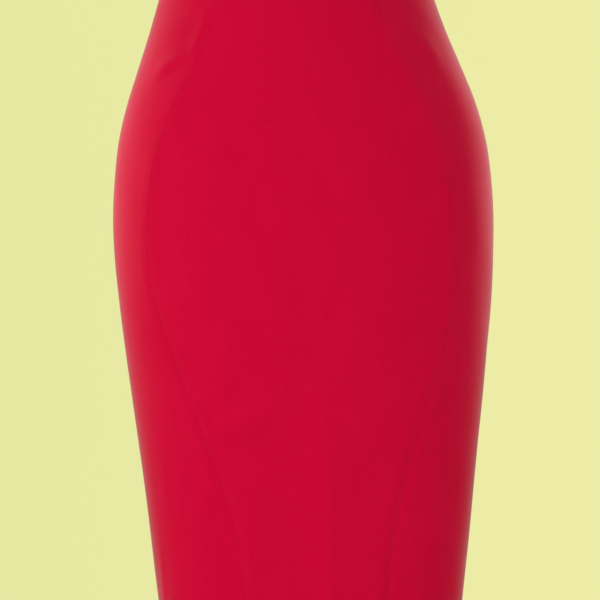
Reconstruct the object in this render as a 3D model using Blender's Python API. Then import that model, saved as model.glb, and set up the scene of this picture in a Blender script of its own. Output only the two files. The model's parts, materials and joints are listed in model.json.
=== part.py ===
"""A pencil skirt in the shape that it takes when worn, built from the pieces that are sewn together.

Metres, +Z up, front towards -Y. The origin is the centre of the waist, halfway up the waistband, where
the wearer holds the skirt up. Left and right are the wearer's, so left is +X.
"""

import math
from collections import namedtuple

import bmesh
import bpy
import numpy as np
from mathutils import Matrix, Vector

# ---------------------------------------------------------------------------------------------------
# Driving sizes. A drop is a distance below the origin's level, so z = -drop.
# ---------------------------------------------------------------------------------------------------
MM = 0.001
BAND_HEIGHT = 35 * MM
BAND_TOP = -BAND_HEIGHT / 2  # a drop
WAIST_SEAM = BAND_HEIGHT / 2
SKIRT_LENGTH = 640 * MM  # top of the waistband to the hem
HEM = BAND_TOP + SKIRT_LENGTH
HEM_TURN_UP = 38 * MM  # cloth folded up inside the hem
SLIT_LENGTH = 160 * MM  # up the centre back from the hem
SLIT_GAP = 12 * MM  # how far its corners stand apart at the hem

CLOTH = 1.5 * MM
HEM_WALL = 2.6 * MM  # cloth and its turn-up
BAND_WALL = 2.6 * MM  # two layers of cloth
BAND_PROUD = 0.4 * MM  # how far the band stands outside the panels
SEAM_GAP = 0.3 * MM

DART_LENGTH = 125 * MM
DART_PLACE = 0.52  # share of a back panel's width, from its side seam
DART_HALF_WIDTH = 0.015  # of the same width
DART_DEPTH = 0.7 * MM  # at the waist seam

ZIP_END = 215 * MM  # drop of the zip's lower end
TAPE_WIDTH = 11 * MM
TAPE_WALL = 1.0 * MM
TAPE_TOP = BAND_TOP + 2 * MM
TAPE_CLEARANCE = 0.5 * MM  # behind a back panel, which is flat between its rows

SLIDER = Vector((4.6, 4.6, 8.0)) * MM
SLIDER_TOP_BELOW_BAND = 1.0 * MM
SLIDER_PROUD = 0.2 * MM  # its face stands this far outside the waistband
SLIDER_ROUNDING = 0.6 * MM
NOTCH_CLEARANCE = 0.7 * MM  # the waistband's ends part this far below the slider too
NOTCH_CLOSED = 2 * MM  # and meet this far below it
BRIDGE_RADIUS = 2.05 * MM
BRIDGE_WIRE = 0.5 * MM  # radius of the bridge's wire
PIN_OUT = 0.8 * MM  # hinge axis to the slider's face
PIN_RADIUS = 0.45 * MM
PULL_LENGTH = 20 * MM
PULL_TOP_WIDTH = 4.6 * MM
PULL_END_WIDTH = 6.2 * MM
PULL_PLATE = 0.8 * MM
PULL_ROUNDING = 0.2 * MM
PIN_SHORTER = 0.6 * MM  # than the pull's top is wide
WINDOW_WIDTH = 2.0 * MM
WINDOW_LENGTH = 3.4 * MM

ROW_PITCH = 26 * MM
FRONT_COLUMNS = 18
SIDE_COLUMNS = 8
BACK_COLUMNS_EACH_SIDE_OF_DART = 6
BAND_COLUMNS = 60
TAPE_ROW_PITCH = 18 * MM
RING_STEPS = 720

CRIMSON_CREPE = (0.56, 0.003, 0.031)
CRIMSON_TAPE = (0.40, 0.004, 0.024)
CRIMSON_ENAMEL = (0.45, 0.004, 0.026)

# The outer face of the cloth at each level, and where the front seams cross it, in millimetres.
#   half_width   half the width seen from the front
#   front, back  depth in front of and behind the origin
#   sway         centre of the width, to the wearer's left
#   panel        half the front panel's width, seen from the front
#   twist        how far the seams have slid to the left
#   fullness     2 is an ellipse; more is squarer
Section = namedtuple("Section", "drop half_width front back sway panel twist fullness")
SECTIONS = (
    Section(-18, 119.0, 90.5, 90.5, -0.6, 56.5, 0.0, 2.10),
    Section(0, 120.0, 91.5, 91.5, 0.0, 58.2, 0.0, 2.10),
    Section(18, 123.8, 94.5, 93.8, 0.5, 62.0, 0.0, 2.12),
    Section(50, 133.7, 99.5, 98.5, 1.8, 74.6, 0.2, 2.16),
    Section(85, 146.3, 103.5, 105.5, 3.9, 91.6, -0.9, 2.20),
    Section(120, 158.9, 105.5, 113.5, 5.3, 109.0, -3.2, 2.25),
    Section(155, 167.6, 106.5, 120.5, 6.2, 122.6, -3.8, 2.30),
    Section(190, 172.0, 106.5, 124.5, 6.6, 131.4, -4.0, 2.35),
    Section(225, 173.8, 106.0, 125.5, 6.9, 135.2, -3.8, 2.38),
    Section(260, 173.0, 105.0, 123.5, 7.4, 135.8, -3.4, 2.40),
    Section(300, 170.0, 104.0, 119.5, 8.3, 132.4, -2.4, 2.40),
    Section(340, 165.7, 102.5, 115.5, 9.3, 122.8, -0.3, 2.45),
    Section(380, 161.0, 101.0, 112.5, 10.4, 109.5, 0.7, 2.55),
    Section(420, 156.2, 99.5, 110.0, 11.3, 95.8, 1.4, 2.75),
    Section(460, 151.5, 98.0, 108.5, 12.1, 82.4, 3.2, 2.95),
    Section(500, 146.9, 96.5, 107.0, 12.8, 72.0, 4.7, 3.05),
    Section(545, 141.7, 95.0, 106.0, 13.3, 64.8, 5.8, 3.10),
    Section(590, 136.4, 93.5, 105.0, 13.6, 61.2, 6.1, 3.10),
    Section(625, 132.3, 92.5, 104.5, 13.7, 59.0, 6.1, 3.10),
)
DROPS = np.array([row.drop for row in SECTIONS]) * MM


# ---------------------------------------------------------------------------------------------------
# The surface that every cloth piece is cut from
# ---------------------------------------------------------------------------------------------------
def read(column, drop):
    """A column of SECTIONS at one drop, on a smooth curve through its rows."""
    values = np.array([getattr(row, column) for row in SECTIONS])
    if column != "fullness":
        values = values * MM
    slopes = np.gradient(values, DROPS)
    i = int(np.clip(np.searchsorted(DROPS, drop) - 1, 0, len(DROPS) - 2))
    span = DROPS[i + 1] - DROPS[i]
    t = (drop - DROPS[i]) / span
    start = values[i] * (1 + 2 * t) * (1 - t) ** 2 + slopes[i] * span * t * (1 - t) ** 2
    end = values[i + 1] * t**2 * (3 - 2 * t) - slopes[i + 1] * span * t**2 * (1 - t)
    return start + end


def ring(drop):
    """The cloth's outer face at one level: its points, and their distance round from the centre front.

    The outline is a superellipse that is deeper behind the origin than in front of it.
    """
    turn = np.linspace(-math.pi, math.pi, RING_STEPS + 1)
    across, along = np.sin(turn), -np.cos(turn)
    power = 2 / read("fullness", drop)
    depth = np.where(along < 0, read("front", drop), read("back", drop))
    x = read("sway", drop) + read("half_width", drop) * np.sign(across) * np.abs(across) ** power
    y = depth * np.sign(along) * np.abs(along) ** power
    points = np.column_stack((x, y))
    steps = np.linalg.norm(np.diff(points, axis=0), axis=1)
    arc = np.concatenate(([0.0], np.cumsum(steps)))
    return points, arc - arc[-1] / 2


def around(drop, arcs, inset=0.0):
    """Points of one level at these distances round from the centre front, moved in by inset."""
    points, arc = ring(drop)
    girth = arc[-1] - arc[0]

    def place(distance):
        wrapped = (distance - arc[0]) % girth + arc[0]
        return np.column_stack([np.interp(wrapped, arc, points[:, k]) for k in (0, 1)])

    step = girth / RING_STEPS
    tangent = place(arcs + step) - place(arcs - step)
    outward = np.column_stack((tangent[:, 1], -tangent[:, 0]))
    outward /= np.linalg.norm(outward, axis=1)[:, None]
    inset = np.broadcast_to(inset, np.shape(arcs))
    flat = place(arcs) - outward * inset[:, None]
    return np.column_stack((flat, np.full(len(flat), -drop)))


def seams(drop):
    """Where each seam crosses one level, as a distance round from the centre front."""
    points, arc = ring(drop)
    twist = read("twist", drop)
    quarter = RING_STEPS // 4
    front = slice(quarter, 3 * quarter + 1)
    middle = read("sway", drop) + twist
    panel = read("panel", drop)
    cross = [float(np.interp(middle + side * panel, points[front, 0], arc[front])) for side in (-1, 1)]
    return {
        "back_of_right": arc[0] + twist,
        "side_right": arc[quarter] + twist,
        "front_right": cross[0],
        "front_left": cross[1],
        "side_left": arc[3 * quarter] + twist,
        "back_of_left": arc[-1] + twist,
    }


# ---------------------------------------------------------------------------------------------------
# Meshes and materials
# ---------------------------------------------------------------------------------------------------
def material(name, colour, roughness, metallic=0.0):
    made = bpy.data.materials.new(name)
    made.use_nodes = True
    made.diffuse_color = (*colour, 1.0)
    shader = made.node_tree.nodes["Principled BSDF"]
    shader.inputs["Base Color"].default_value = (*colour, 1.0)
    shader.inputs["Roughness"].default_value = roughness
    shader.inputs["Metallic"].default_value = metallic
    return made


def add_object(name, mesh, finish=None):
    obj = bpy.data.objects.new(name, mesh)
    bpy.context.scene.collection.objects.link(obj)
    if finish:
        mesh.materials.append(finish)
    mesh.shade_smooth()
    mesh.set_sharp_from_angle(angle=math.radians(35))
    return obj


def cloth_wall(name, levels, finish):
    """A closed wall. Each level is (outer points, inner points), from the top down and left to right.

    A level becomes one loop, out along the outer face and back along the inner one.
    """
    loops = np.array([np.concatenate((outer, inner[::-1])) for outer, inner in levels])
    count, around_it = loops.shape[:2]
    half = around_it // 2
    index = np.arange(count * around_it).reshape(count, around_it)
    after = np.roll(index, -1, axis=1)
    walls = np.stack((index[:-1], index[1:], after[1:], after[:-1]), axis=-1).reshape(-1, 4)
    faces = walls.tolist()
    for row, flip in ((index[0], 1), (index[-1], -1)):
        outer, inner = row[:half], row[half:][::-1]
        edge = np.column_stack((outer[:-1], outer[1:], inner[1:], inner[:-1]))
        faces += edge[:, ::flip].tolist()
    mesh = bpy.data.meshes.new(name)
    mesh.from_pydata(loops.reshape(-1, 3).tolist(), [], faces)
    return add_object(name, mesh, finish)


def cutter(obj):
    """Marks an object that only shapes another one."""
    obj.hide_render = True
    obj.display_type = "WIRE"
    return obj


def combine(obj, other, operation):
    boolean = obj.modifiers.new(operation.lower(), "BOOLEAN")
    boolean.operation = operation
    boolean.object = cutter(other)


# ---------------------------------------------------------------------------------------------------
# Cloth pieces
# ---------------------------------------------------------------------------------------------------
def panel_drops():
    """Levels of a panel's rows, with two close together where the hem's turn-up ends."""
    top, fold = WAIST_SEAM + SEAM_GAP, HEM - HEM_TURN_UP
    body = np.linspace(top, fold, round((fold - top) / ROW_PITCH) + 1)
    return [*body, fold + CLOTH, HEM - HEM_TURN_UP / 2, HEM]


def wall_at(drop):
    return HEM_WALL if drop > HEM - HEM_TURN_UP + CLOTH / 2 else CLOTH


def half_gap(drop, seam):
    """Half the space between two panels: a sewn seam, or the slit below its top."""
    sewn = SEAM_GAP / 2
    opened = max(0.0, 1 - (HEM - drop) / SLIT_LENGTH)
    if not seam.startswith("back_of"):
        return sewn
    return sewn + (SLIT_GAP / 2 - sewn) * opened**1.5


def panel(name, first, last, shares, finish, dart_column=None):
    """A panel between two seams, with its columns at these shares of its width."""
    levels = []
    for drop in panel_drops():
        crossed = seams(drop)
        start = crossed[first] + half_gap(drop, first)
        end = crossed[last] - half_gap(drop, last)
        arcs = start + (end - start) * shares
        pressed = np.zeros(len(arcs))
        if dart_column is not None:
            left = max(0.0, 1 - (drop - WAIST_SEAM) / DART_LENGTH)
            pressed[dart_column] = DART_DEPTH * left
        levels.append((around(drop, arcs, pressed), around(drop, arcs, wall_at(drop))))
    return cloth_wall(name, levels, finish)


def back_shares():
    """Column places from a back panel's side seam to the centre back, and the dart's column."""
    count = BACK_COLUMNS_EACH_SIDE_OF_DART
    outer = np.linspace(0, DART_PLACE - DART_HALF_WIDTH, count + 1)
    inner = np.linspace(DART_PLACE + DART_HALF_WIDTH, 1, count + 1)
    return np.concatenate((outer, [DART_PLACE], inner)), count + 1


def waistband(finish):
    """The band runs round from one side of the zip to the other, and parts at its top for the slider."""
    notch = -zip_axis_height() + SLIDER.z / 2
    parted_to, met_at = notch + NOTCH_CLEARANCE, notch + NOTCH_CLOSED
    drops = (BAND_TOP, BAND_TOP + SLIDER.z / 2, parted_to, met_at, 0.0, WAIST_SEAM)
    levels = []
    for drop in drops:
        crossed = seams(drop)
        gap = SLIDER.x / 2 + SEAM_GAP if drop < met_at else SEAM_GAP / 2
        start, end = crossed["back_of_right"] + gap, crossed["back_of_left"] - gap
        arcs = np.linspace(start, end, BAND_COLUMNS + 1)
        levels.append((around(drop, arcs, -BAND_PROUD), around(drop, arcs, BAND_WALL - BAND_PROUD)))
    return cloth_wall("waistband", levels, finish)


def zip_tape(name, side, finish):
    """A tape behind the opening's edge. It lies on the inside of the waistband and of the back panel."""
    behind_band = BAND_WALL - BAND_PROUD + SEAM_GAP
    behind_panel = CLOTH + TAPE_CLEARANCE
    rows = round((ZIP_END - TAPE_TOP) / TAPE_ROW_PITCH) + 1
    levels = []
    for drop in np.linspace(TAPE_TOP, ZIP_END, rows):
        centre = seams(drop)["back_of_left"]
        near, far = SLIDER.x / 2 + SEAM_GAP, SLIDER.x / 2 + SEAM_GAP + TAPE_WIDTH
        arcs = centre + (np.linspace(-far, -near, 4) if side == "left" else np.linspace(near, far, 4))
        depth = np.interp(drop, (WAIST_SEAM, WAIST_SEAM + TAPE_ROW_PITCH), (behind_band, behind_panel))
        levels.append((around(drop, arcs, depth), around(drop, arcs, depth + TAPE_WALL)))
    return cloth_wall(name, levels, finish)


# ---------------------------------------------------------------------------------------------------
# The zip's slider and its pull
# ---------------------------------------------------------------------------------------------------
def zip_axis_height():
    """z of the pull's hinge axis, which is halfway up the slider."""
    return -BAND_TOP - SLIDER_TOP_BELOW_BAND - SLIDER.z / 2


def centre_back(drop):
    """The waistband's outer face on the centre-back line."""
    return Vector(around(drop, np.array([seams(drop)["back_of_left"]]), -BAND_PROUD)[0])


def zip_frame():
    """The hinge axis's place, and the lean of the waistband under the pull, as one matrix."""
    top_drop = -zip_axis_height()
    top, end = centre_back(top_drop), centre_back(top_drop + PULL_LENGTH)
    lean = math.atan2(end.y - top.y, top.z - end.z)
    out = Vector((0.0, SLIDER_PROUD + PIN_OUT, 0.0))
    return Matrix.Translation(top + out) @ Matrix.Rotation(lean, 4, "X")


def box_mesh(name, size, centre):
    bm = bmesh.new()
    bmesh.ops.create_cube(bm, matrix=Matrix.Translation(centre) @ Matrix.Diagonal((*size, 1.0)))
    mesh = bpy.data.meshes.new(name)
    bm.to_mesh(mesh)
    bm.free()
    return mesh


def zip_slider(frame, finish):
    """A rounded block in the gap, with a wire bridge on its face that the pull hangs from."""
    face = -PIN_OUT  # along Y, from the hinge axis
    mesh = box_mesh("zip_slider", SLIDER, Vector((0.0, face - SLIDER.y / 2, 0.0)))
    slider = add_object("zip_slider", mesh, finish)
    bevel = slider.modifiers.new("rounded", "BEVEL")
    bevel.width = SLIDER_ROUNDING
    bevel.segments = 3
    bpy.ops.mesh.primitive_torus_add(
        major_radius=BRIDGE_RADIUS,
        minor_radius=BRIDGE_WIRE,
        major_segments=24,
        minor_segments=10,
    )
    bridge = bpy.context.object
    bridge.name = "bridge_shape"
    bridge.data.transform(Matrix.Translation((0.0, face, 0.0)) @ Matrix.Rotation(math.pi / 2, 4, "Y"))
    combine(slider, bridge, "UNION")
    slider.matrix_world = bridge.matrix_world = frame
    return slider


def pull_outline():
    """Half of the pull's outline as (x, z) from the hinge axis: straight sides and a round end."""
    end_radius = PULL_END_WIDTH / 2
    centre = -PULL_LENGTH + end_radius
    outline = [(PULL_TOP_WIDTH / 2, PIN_RADIUS)]
    for turn in np.linspace(0.0, -math.pi / 2, 8)[:-1]:
        outline.append((end_radius * math.cos(turn), centre + end_radius * math.sin(turn)))
    return outline


def zip_pull(frame, finish):
    """A plate with a window at its top. The pin across the window passes through the slider's bridge."""
    right = pull_outline()
    left = [(-x, z) for x, z in reversed(right)]
    outline = [*right, (0.0, -PULL_LENGTH), *left]
    bm = bmesh.new()
    face = bm.faces.new([bm.verts.new((x, PULL_PLATE / 2, z)) for x, z in outline])
    moved = bmesh.ops.extrude_face_region(bm, geom=[face])["geom"]
    verts = [part for part in moved if isinstance(part, bmesh.types.BMVert)]
    bmesh.ops.translate(bm, vec=(0.0, -PULL_PLATE, 0.0), verts=verts)
    bmesh.ops.recalc_face_normals(bm, faces=bm.faces[:])
    mesh = bpy.data.meshes.new("zip_pull")
    bm.to_mesh(mesh)
    bm.free()
    pull = add_object("zip_pull", mesh, finish)
    bevel = pull.modifiers.new("rounded", "BEVEL")
    bevel.width = PULL_ROUNDING
    bevel.segments = 2

    window_size = Vector((WINDOW_WIDTH, 4 * PULL_PLATE, WINDOW_LENGTH))
    window_centre = Vector((0.0, 0.0, -WINDOW_LENGTH / 2))
    window = add_object("window_shape", box_mesh("window_shape", window_size, window_centre))
    combine(pull, window, "DIFFERENCE")

    pin_length = PULL_TOP_WIDTH - PIN_SHORTER
    bpy.ops.mesh.primitive_cylinder_add(vertices=14, radius=PIN_RADIUS, depth=pin_length)
    pin = bpy.context.object
    pin.name = "pin_shape"
    pin.data.transform(Matrix.Rotation(math.pi / 2, 4, "Y"))
    combine(pull, pin, "UNION")
    pull.matrix_world = window.matrix_world = pin.matrix_world = frame
    return pull


# ---------------------------------------------------------------------------------------------------
# The skirt
# ---------------------------------------------------------------------------------------------------
def build():
    for obj in list(bpy.data.objects):
        bpy.data.objects.remove(obj, do_unlink=True)

    cloth = material("crimson crepe", CRIMSON_CREPE, 0.8)
    tape = material("crimson zip tape", CRIMSON_TAPE, 0.9)
    enamel = material("crimson enamelled zinc", CRIMSON_ENAMEL, 0.35)

    waistband(cloth)
    panel("front_panel", "front_right", "front_left", np.linspace(0, 1, FRONT_COLUMNS + 1), cloth)
    narrow = np.linspace(0, 1, SIDE_COLUMNS + 1)
    panel("side_panel_right", "side_right", "front_right", narrow, cloth)
    panel("side_panel_left", "front_left", "side_left", narrow, cloth)
    shares, dart_column = back_shares()
    panel("back_panel_left", "side_left", "back_of_left", shares, cloth, dart_column)
    mirrored = (1 - shares)[::-1]
    mirrored_dart = len(shares) - 1 - dart_column
    panel("back_panel_right", "back_of_right", "side_right", mirrored, cloth, mirrored_dart)

    zip_tape("zip_tape_left", "left", tape)
    zip_tape("zip_tape_right", "right", tape)
    frame = zip_frame()
    zip_slider(frame, enamel)
    zip_pull(frame, enamel)


build()
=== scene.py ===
# %% [markdown]
# # A red pencil skirt
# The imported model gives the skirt's plain solids: a waistband, five panels, and a zip with its pull.
# Here each of them gets the surface that the real piece has: rolled seam edges, a turned-up hem, darts,
# soft creases, thread, and a crepe that shines a little where it turns away from the eye.
# All sizes are in metres, +Z is up, the front faces -Y, and the origin is the centre of the waist.

# %% Load the frame
import json
import math
from collections import namedtuple

import bpy
import numpy as np
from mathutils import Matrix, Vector


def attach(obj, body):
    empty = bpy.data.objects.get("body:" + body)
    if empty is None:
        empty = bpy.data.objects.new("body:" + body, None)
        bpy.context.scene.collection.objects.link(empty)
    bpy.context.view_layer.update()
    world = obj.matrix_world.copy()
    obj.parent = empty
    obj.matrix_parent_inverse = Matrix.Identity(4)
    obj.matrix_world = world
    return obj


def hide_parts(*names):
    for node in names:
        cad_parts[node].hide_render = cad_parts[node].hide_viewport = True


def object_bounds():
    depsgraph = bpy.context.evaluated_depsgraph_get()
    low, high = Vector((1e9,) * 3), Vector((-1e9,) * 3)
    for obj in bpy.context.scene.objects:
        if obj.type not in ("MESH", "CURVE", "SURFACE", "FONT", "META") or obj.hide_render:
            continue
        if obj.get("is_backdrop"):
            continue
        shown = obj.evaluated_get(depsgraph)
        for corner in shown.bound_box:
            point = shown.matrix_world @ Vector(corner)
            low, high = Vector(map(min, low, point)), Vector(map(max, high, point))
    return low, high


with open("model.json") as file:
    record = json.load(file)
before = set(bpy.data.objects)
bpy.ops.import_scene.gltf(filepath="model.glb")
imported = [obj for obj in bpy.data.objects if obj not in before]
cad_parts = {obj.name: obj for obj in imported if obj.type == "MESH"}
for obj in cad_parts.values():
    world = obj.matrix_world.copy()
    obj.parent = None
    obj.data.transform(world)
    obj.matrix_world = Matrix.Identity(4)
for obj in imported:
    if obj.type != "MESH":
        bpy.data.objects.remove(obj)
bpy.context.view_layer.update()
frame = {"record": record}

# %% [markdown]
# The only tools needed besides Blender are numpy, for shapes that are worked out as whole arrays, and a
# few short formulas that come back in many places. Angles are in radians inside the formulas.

MM = 0.001
TURN = 2 * math.pi


def smooth(value, start, end):
    """0 before start and 1 after end, with 3 t^2 - 2 t^3 between them."""
    t = np.clip((value - start) / (end - start), 0, 1)
    return t * t * (3 - 2 * t)


def unit(vectors):
    """The same directions with length 1."""
    return vectors / np.linalg.norm(vectors, axis=-1, keepdims=True)


def joined(*coordinates):
    """Arrays of x, y and z, or of any other coordinates, brought to one shape and made into points."""
    return np.stack(np.broadcast_arrays(*coordinates), axis=-1)


def length_along(points):
    """The length along lines of points (..., steps, axes) from their start to each point."""
    steps = np.linalg.norm(np.diff(points, axis=-2), axis=-1)
    return np.concatenate((0 * steps[..., :1], np.cumsum(steps, axis=-1)), axis=-1)


def ramp(value, width):
    """0 below zero and 1 above it, with a straight slope of this width in between."""
    return np.clip(value / width + 0.5, 0, 1)


def bell(t):
    """A bell curve: exp(-t^2)."""
    return np.exp(-(t**2))


def signed_power(value, power):
    """A value's size to a power, with the value's own sign."""
    return np.sign(value) * np.abs(value) ** power


# %% [markdown]
# ## Camera
# The skirt is seen straight from the front, close enough that its waistband and hem fall outside the
# view. A long lens from a few metres away shows its sides without the lean that a near view gives them.
# The lens follows from similar triangles: view width over distance is sensor width over focal length.

# %% Camera
VIEW_WIDTH = 549.5 * MM  # how much of the skirt's own plane the view spans
VIEW_TOP = -25.5 * MM  # the view's top edge, just under the waistband
VIEW_CENTRE_X = 3.9 * MM
CAMERA_DISTANCE = 3.5
SENSOR_WIDTH = 36.0  # in millimetres, as a camera counts it

camera_data = bpy.data.cameras.new("camera")
camera_data.sensor_width = SENSOR_WIDTH
camera_data.lens = SENSOR_WIDTH * CAMERA_DISTANCE / VIEW_WIDTH
camera = bpy.data.objects.new("camera", camera_data)
camera.location = (VIEW_CENTRE_X, -CAMERA_DISTANCE, VIEW_TOP - VIEW_WIDTH / 2)
camera.rotation_euler = (math.pi / 2, 0, 0)
bpy.context.scene.collection.objects.link(camera)
bpy.context.scene.camera = camera
print("focal length", round(camera_data.lens), "mm")

# %% [markdown]
# ## Sizes of the skirt
# These are the sizes that a maker would note down: a medium crepe, folded double at the waistband and
# turned up at the hem. A drop is a distance below the middle of the waistband, so z is minus the drop.

# %% Driving sizes
BAND_TOP = -17.5 * MM
WAIST_SEAM = 17.5 * MM
HEM = 622.5 * MM
HEM_TURN_UP = 38 * MM
SLIT_LENGTH = 160 * MM
SLIT_GAP = 12 * MM
BAND_WALL = 2.6 * MM
BAND_PROUD = 0.4 * MM
DART_LENGTH = 125 * MM
DART_PLACE = 0.52  # share of a back panel's width, from its side seam
ZIP_END = 215 * MM
TAPE_NEAR = 1.6 * MM  # from the centre back to a tape's edge, which runs in the slider's channel
TAPE_WIDTH = 12 * MM
TAPE_TOP = BAND_TOP + 2 * MM
SLIDER_WIDTH = 4.6 * MM
SLIDER_LENGTH = 8.0 * MM

LAYER = 1.3 * MM  # one thickness of crepe, with the air in it
FOLD = 1.2 * MM  # how far inside the surface the middle of a pressed fold lies
ALLOWANCE = 10 * MM  # cloth beyond a seam, pressed open inside
SLIT_FACING = 24 * MM  # the wider allowance beside the slit
TOUCH = -0.03 * MM  # half the space between two folds that are sewn tight, so they press together

# %% [markdown]
# ## The worn shape
# A garment that is worn has the shape of its cut over a figure. One row of this table is one level: how
# wide and deep the cloth stands there, how far its middle has swayed, and where the seams run. The rows
# are the same ones that the solids are built on, so a surface made from them lies on its solid.

# %% Section table
# In millimetres. half_width, front and back are of the outer face, panel is half the front panel's width
# seen from the front, sway moves the middle to the wearer's left, twist slides the seams round, and
# fullness is the outline's squareness, where 2 is an ellipse.
Section = namedtuple("Section", "drop half_width front back sway panel twist fullness")
SECTIONS = (
    Section(-18, 119.0, 90.5, 90.5, -0.6, 56.5, 0.0, 2.10),
    Section(0, 120.0, 91.5, 91.5, 0.0, 58.2, 0.0, 2.10),
    Section(18, 123.8, 94.5, 93.8, 0.5, 62.0, 0.0, 2.12),
    Section(50, 133.7, 99.5, 98.5, 1.8, 74.6, 0.2, 2.16),
    Section(85, 146.3, 103.5, 105.5, 3.9, 91.6, -0.9, 2.20),
    Section(120, 158.9, 105.5, 113.5, 5.3, 109.0, -3.2, 2.25),
    Section(155, 167.6, 106.5, 120.5, 6.2, 122.6, -3.8, 2.30),
    Section(190, 172.0, 106.5, 124.5, 6.6, 131.4, -4.0, 2.35),
    Section(225, 173.8, 106.0, 125.5, 6.9, 135.2, -3.8, 2.38),
    Section(260, 173.0, 105.0, 123.5, 7.4, 135.8, -3.4, 2.40),
    Section(300, 170.0, 104.0, 119.5, 8.3, 132.4, -2.4, 2.40),
    Section(340, 165.7, 102.5, 115.5, 9.3, 122.8, -0.3, 2.45),
    Section(380, 161.0, 101.0, 112.5, 10.4, 109.5, 0.7, 2.55),
    Section(420, 156.2, 99.5, 110.0, 11.3, 95.8, 1.4, 2.75),
    Section(460, 151.5, 98.0, 108.5, 12.1, 82.4, 3.2, 2.95),
    Section(500, 146.9, 96.5, 107.0, 12.8, 72.0, 4.7, 3.05),
    Section(545, 141.7, 95.0, 106.0, 13.3, 64.8, 5.8, 3.10),
    Section(590, 136.4, 93.5, 105.0, 13.6, 61.2, 6.1, 3.10),
    Section(625, 132.3, 92.5, 104.5, 13.7, 59.0, 6.1, 3.10),
)
DROPS = np.array([row.drop for row in SECTIONS]) * MM


def read(column, drop):
    """A column at any drops: the cubic curve through the rows that has the rows' own slopes."""
    values = np.array([getattr(row, column) for row in SECTIONS], float)
    values *= 1 if column == "fullness" else MM
    slopes = np.gradient(values, DROPS)
    i = np.clip(np.searchsorted(DROPS, drop) - 1, 0, len(DROPS) - 2)
    span = DROPS[i + 1] - DROPS[i]
    t = (drop - DROPS[i]) / span
    start = values[i] * (1 + 2 * t) * (1 - t) ** 2 + slopes[i] * span * t * (1 - t) ** 2
    end = values[i + 1] * t**2 * (3 - 2 * t) - slopes[i + 1] * span * t**2 * (1 - t)
    return start + end


print("half width at the hips", round(float(read("half_width", 0.225)) / MM, 1), "mm")

# %% [markdown]
# ## Finding a place on the cloth
# A tailor measures round the body with a tape, so a place on the skirt is given by two lengths: how far
# round from the centre front, and how far down. Each level is a superellipse, and the tape's reading
# along it is its summed-up length. One call places a whole grid of points.

# %% The skirt's surface
RING_STEPS = 720
QUARTER = RING_STEPS // 4
LANE = 10.0  # longer than any girth


def rings(drops):
    """The outline at each drop, and each point's length round from the centre front.

    x is the half width times sin(t) to the power 2 / fullness, and y is the depth times cos(t) to it.
    """
    t = np.linspace(-math.pi, math.pi, RING_STEPS + 1)[None, :]
    across, along = np.sin(t), -np.cos(t)
    drops = np.asarray(drops)[:, None]
    power = 2 / read("fullness", drops)
    depth = np.where(along < 0, read("front", drops), read("back", drops))
    x = read("sway", drops) + read("half_width", drops) * signed_power(across, power)
    y = depth * signed_power(along, power)
    arc = length_along(joined(x, y))
    return x, y, arc - arc[:, -1:] / 2


def row_by_row(asked, known, values):
    """Reads each row's curve at that row's own places. The rows stand in lanes one behind the other, so
    that one interpolation serves them all."""
    lanes = LANE * np.arange(len(known))[:, None]
    found = np.interp((asked + lanes).ravel(), (known + lanes).ravel(), values.ravel())
    return found.reshape(asked.shape)


def place(drops, arcs):
    """Points (rows, columns, 3) at these drops (rows) and lengths round (rows, columns)."""
    x, y, arc = rings(drops)
    girth = arc[:, -1:] - arc[:, :1]
    arcs = np.mod(arcs - arc[:, :1], girth) + arc[:, :1]
    return joined(row_by_row(arcs, arc, x), row_by_row(arcs, arc, y), -np.asarray(drops)[:, None])


def outward(drops, arcs):
    """Level unit vectors that point out of the cloth: the outline's direction, turned a quarter."""
    step = 1.2 * MM
    along = place(drops, arcs + step) - place(drops, arcs - step)
    return unit(joined(along[..., 1], -along[..., 0], 0.0))


def on_cloth(drops, arcs, out):
    """Points at these drops and lengths round, moved out of the skirt's surface by these distances."""
    return place(drops, arcs) + outward(drops, arcs) * out[..., None]


print("round the hips", round(float(np.ptp(rings([0.225])[2])) / MM), "mm")

# %% [markdown]
# ## Where the seams run
# The side seams drop from the widest points of the waist. The front seams are the skirt's main feature:
# they leave the waist close together, sweep out round the hips, and come back in towards the knee. The
# cloth has slid round the body a little, so every seam is moved by the same twist.

# %% Seam lines
def seen_at(x, drops):
    """The length round at which the front of each level stands at x, read off its front half."""
    xs, _, arc = rings(drops)
    front = slice(QUARTER, 3 * QUARTER + 1)
    return row_by_row(x[:, None], xs[:, front], arc[:, front])[:, 0]


def seams(drops):
    """Each seam's length round at each drop, by name."""
    drops = np.asarray(drops)
    _, _, arc = rings(drops)
    twist, panel = read("twist", drops), read("panel", drops)
    middle = read("sway", drops) + twist
    return {
        "back_of_right": arc[:, 0] + twist,
        "side_right": arc[:, QUARTER] + twist,
        "front_right": seen_at(middle - panel, drops),
        "front_left": seen_at(middle + panel, drops),
        "side_left": arc[:, 3 * QUARTER] + twist,
        "back_of_left": arc[:, -1] + twist,
    }


hips = seams([0.225])
print("front panel at the hips", round((hips["front_left"] - hips["front_right"])[0] / MM), "mm")

# %% [markdown]
# ## Tools for materials
# Colours are written as the sRGB hex codes that a colour picker gives, and Blender's shaders want linear
# light, so one function turns them. Another adds a node, sets it and links it, so that a material reads
# as a list of its parts.

# %% Colour and node helpers
def colour(code):
    """An sRGB hex code as linear red, green and blue, and an alpha of 1."""
    srgb = np.array([int(code[i : i + 2], 16) for i in (1, 3, 5)]) / 255
    linear = np.where(srgb <= 0.04045, srgb / 12.92, ((srgb + 0.055) / 1.055) ** 2.4)
    return (*linear.tolist(), 1.0)


def set_inputs(node, inputs):
    """Gives each named input of a node a value, a colour for a hex code, or a link for a socket."""
    for key, value in dict(inputs).items():
        if isinstance(value, bpy.types.NodeSocket):
            node.id_data.links.new(value, node.inputs[key])
        else:
            node.inputs[key].default_value = colour(value) if isinstance(value, str) else value


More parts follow.
